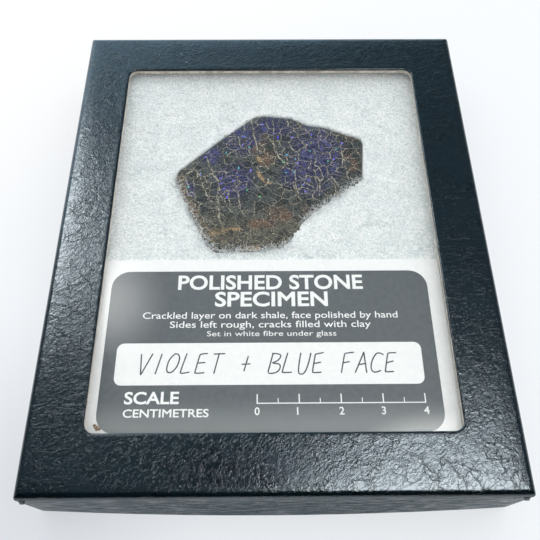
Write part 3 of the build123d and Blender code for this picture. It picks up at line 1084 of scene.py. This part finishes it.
rows += [case_row(lining, lining_round, height * mm) for height in lining_rows]
bm = bmesh.new()
skin_rows(bm, rows)
bmesh.ops.recalc_face_normals(bm, faces=bm.faces)
bmesh.ops.solidify(bm, geom=bm.faces[:], thickness=paper)
bmesh.ops.recalc_face_normals(bm, faces=bm.faces)
lid_covering = finish_mesh("lid_covering", bm, covering_paper)
lid_covering.data.set_sharp_from_angle(angle=math.radians(60))
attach(lid_covering, "lid")
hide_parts("lid_wrap")

# Corner ears
# At the two near corners a small dog-ear of the folded paper stands off the end wall, below the top edge.
# It is the same paper, doubled and stuck to itself.
ear_wide = 1.1 * mm
ear_tall = 1.3 * mm
ear_stand = 1.3 * mm
ear_level = 18.5 * mm
ear_inset = 1.0 * mm
ear_round = 0.12 * mm
ear_thin = 0.1
bm = bmesh.new()
for side in (-1, 1):
    ear = bmesh.ops.create_cube(bm, size=1.0)["verts"]
    bmesh.ops.scale(bm, vec=(ear_wide, ear_stand, ear_tall), verts=ear)
    for vert in ear:
        if vert.co.z > 0:
            vert.co.y *= ear_thin
    edges = {edge for vert in ear for edge in vert.link_edges}
    ear = bmesh.ops.bevel(
        bm, geom=list(edges), offset=ear_round, affect="EDGES", segments=2, profile=0.5, material=-1
    )["verts"]
    middle = Vector((side * (half_case.x - 0.5 * ear_wide - ear_inset), -half_case.y, ear_level))
    bmesh.ops.translate(bm, vec=middle, verts=ear)
corner_ears = finish_mesh("corner_ears", bm, covering_paper)
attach(corner_ears, "lid")

# Lint
# A few specks of white lint lie on the lid, shed by the batting when the box was packed.
# Each is a small flattened crumb of fibre.
lint_places = (
    (-28.0, 62.5, 0.3), (-26.2, 58.9, 0.26), (-29.4, 67.0, 0.2), (-35.0, 62.0, 0.2), (-24.6, 64.4, 0.16),
    (48.8, 64.7, 0.16), (9.0, 63.0, 0.14), (-51.0, 22.0, 0.16), (50.5, 8.0, 0.16), (-20.0, -62.0, 0.14),
)
lint_shape = (1.0, 0.7, 0.5)
bm = bmesh.new()
for x, y, size in lint_places:
    speck = bmesh.ops.create_icosphere(bm, subdivisions=1, radius=0.5 * size * mm)["verts"]
    put(bm, lint_shape, (x * mm, y * mm, top), speck)
lint = finish_mesh("lint_specks", bm, strand)
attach(lint, "lid")

# Torn board
# A shred of the window's cut edge, torn loose at the near left corner and lying on the glass.
# It is soft brown pulp, darkened by handling.
shreds = (
    (-41.0, -54.0, 1.3, 0.8), (-40.4, -54.4, 1.1, 0.8), (-41.4, -53.6, 0.8, 0.6), (-40.8, -54.6, 0.9, 0.5),
)
shred_thick = 0.3
shred_level = glass_high.z + 0.4 * shred_thick * mm
bm = bmesh.new()
for x, y, long, wide in shreds:
    shred = bmesh.ops.create_icosphere(bm, subdivisions=2, radius=0.5 * mm)["verts"]
    put(bm, (long, wide, shred_thick), (x * mm, y * mm, shred_level), shred)
pulp = mottled_material("shred", 2600.0, 3.0, 0.1, paint(84, 72, 58), paint(158, 138, 114), 0.95)
torn_board = finish_mesh("torn_board", bm, pulp)
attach(torn_board, "lid")

# Glazing strips
# Bars of the same board, cut square and butted at the corners.
# They are glued to the lid's walls under the pane, to hold it up against the panel.
dress(grey_board, *[f"glass_strip_{side}" for side in ("front", "rear", "left", "right")])

# Window pane
# Sheet glass, clear, with a faint green cast and ground edges.
# It is laid into the lid from below and rests on the glazing strips.


def pane_material():
    """Clear glass that lets light through to what lies under it."""
    material, tree = bare_material("pane")
    cast = (0.985, 0.995, 0.99, 1.0)
    coat(tree, {"Base Color": cast, "Roughness": 0.0, "IOR": 1.5, "Transmission Weight": 1.0})
    through = add(tree, "BsdfTransparent", {"Color": cast}).outputs[0]
    path = add(tree, "LightPath").outputs
    surface = tree.nodes["Principled BSDF"].outputs[0]
    for ray in ("Is Diffuse Ray", "Is Shadow Ray"):
        surface = add(tree, "MixShader", {0: path[ray], 1: surface, 2: through}).outputs[0]
    plug(tree, tree.nodes["Material Output"].inputs["Surface"], surface)
    return material


dress(pane_material(), "window_glass")

# Table
# A table top faced with white laminate, faintly uneven, with a painted shadow that greys it at the near left
# and painted light that whitens it a little towards the back left.
# It is wide enough to fill the view from any side.


def table_material():
    """White laminate, which shows white to the camera and in shiny surfaces and still takes a shadow; the
    white it shows carries painted light and a painted shadow.
    """
    material, tree, place = start_material("table_white")
    laminate = blend(cloudy(place, 3.0), paint(240, 243, 246), paint(246, 248, 250))
    coat(tree, {"Base Color": laminate, "Roughness": 0.6, "Specular IOR Level": 0.2})
    # Painted light: what the camera sees is painted a little whiter towards the back left.
    slant = vectors("DOT_PRODUCT", place, (-0.6, 0.8, 0.0))
    pale = shade(slant, 0.03, 0.11, paint(246, 250, 254), paint(255, 255, 255))
    # Painted shadow: a soft grey spot at the near left.
    painted_shadow_spot = soft_spot(place, (-0.1, -0.12), (0.075, 0.1), -20.0)
    pale = blend(painted_shadow_spot, pale, paint(206, 210, 218))
    white = add(tree, "Emission", {"Color": pale, "Strength": 1.0}).outputs[0]
    path = add(tree, "LightPath").outputs
    seen = maths("MAXIMUM", path["Is Glossy Ray"], path["Is Transmission Ray"])
    seen = times(maths("MAXIMUM", seen, path["Is Camera Ray"]), backdrop_share)
    lit = tree.nodes["Principled BSDF"].outputs[0]
    both = add(tree, "MixShader", {0: seen, 1: lit, 2: white}).outputs[0]
    plug(tree, tree.nodes["Material Output"].inputs["Surface"], both)
    return material


backdrop_share = 0.6
table_half = 3.0
bm = bmesh.new()
bmesh.ops.create_grid(bm, x_segments=1, y_segments=1, size=table_half)
table = finish_mesh("table_top", bm, table_material())

# Studio light
# An even white tent lights everything softly. Three bright cards, two high on the left behind the box and one
# overhead on the right, show only as reflections. The room they stand in is dim.


def glow_material(name, strength):
    """A light whose brightness a rule works out in its tree, and which hides nothing behind it."""
    material, tree = bare_material(name)
    tree.nodes.clear()
    glow = add(tree, "Emission", {"Strength": strength(tree)})
    clear = add(tree, "BsdfTransparent")
    both = add(tree, "AddShader", {0: glow.outputs[0], 1: clear.outputs[0]})
    add(tree, "OutputMaterial", {"Surface": both.outputs[0]})
    return material


def bright_card(name, place, size, strength, core):
    """A glowing card turned to the box, full in its core and fading outwards, seen in shiny surfaces only."""

    def fade(tree):
        local = add(tree, "TexCoord").outputs["Object"]
        return remap(vectors("LENGTH", local), 0.5 * size, core * size, 0.0, strength)

    bm = bmesh.new()
    bmesh.ops.create_grid(bm, x_segments=1, y_segments=1, size=0.5 * size)
    card = finish_mesh(name, bm, glow_material(name, fade))
    turn = Vector(place).to_track_quat("Z", "Y").to_matrix().to_4x4()
    card.matrix_world = Matrix.Translation(place) @ turn
    card.visible_camera = False
    card.visible_diffuse = False


def tent_glow(tree):
    """Brighter from the back right than from the front left."""
    local = add(tree, "TexCoord").outputs["Object"]
    toward = vectors("DOT_PRODUCT", local, (0.2, 0.5, 0.84))
    return remap(toward, -0.3 * tent_radius, tent_radius, 0.45, 1.41)


tent_radius = 2.5
bm = bmesh.new()
bmesh.ops.create_icosphere(bm, subdivisions=3, radius=tent_radius)
tent = finish_mesh("tent", bm, glow_material("tent", tent_glow))
tent.visible_camera = False
tent.visible_glossy = False
tent.visible_transmission = False
bright_card("card_left", (-0.548, 0.584, 0.903), 0.46, 11.1, 0.26)
bright_card("card_near", (-0.298, 0.386, 0.903), 0.25, 3.3, 0.0)
bright_card("card_right", (0.187, -0.064, 0.601), 0.35, 10.6, 0.26)

room = bpy.data.worlds.new("room")
bpy.context.scene.world = room
room.cycles_visibility.diffuse = False
room.use_nodes = True
tree = room.node_tree
sky = tree.nodes["Background"]
facing = add(tree, "TexCoord").outputs["Generated"]
corner = vectors("DOT_PRODUCT", facing, (-0.35, 1.0, 0.0))
dim = remap(axis(facing, "Y"), -0.3, 0.1, 0.01, 0.23)
glare = maths("ADD", dim, remap(corner, 0.71, 0.84, 0.0, 1.6))
plug(tree, sky.inputs["Color"], (0.58, 0.82, 1.0, 1.0))
plug(tree, sky.inputs["Strength"], glare)
seen = add(tree, "LightPath").outputs["Is Camera Ray"]
white = add(tree, "Background", {"Color": (1.0, 1.0, 1.0, 1.0), "Strength": 1.0})
both = add(tree, "MixShader", {0: seen, 1: sky.outputs[0], 2: white.outputs[0]})
plug(tree, tree.nodes["World Output"].inputs["Surface"], both.outputs[0])

# Camera
# A phone held above the front edge, looking down at the lid.
# Its place and its turn are fitted to the corners of the lid and of the window.
camera_place = (-1.7 * mm, -87.53 * mm, 161.91 * mm)
camera_turn = (math.radians(27.449), math.radians(-0.177), math.radians(-0.433))
lens = bpy.data.cameras.new("camera")
lens.sensor_width = 36.0
lens.lens = 41.09
lens.clip_start = 0.005
camera = show("camera", lens)
camera.location = camera_place
camera.rotation_euler = camera_turn
bpy.context.scene.camera = camera
bpy.context.scene.view_settings.view_transform = "Standard"
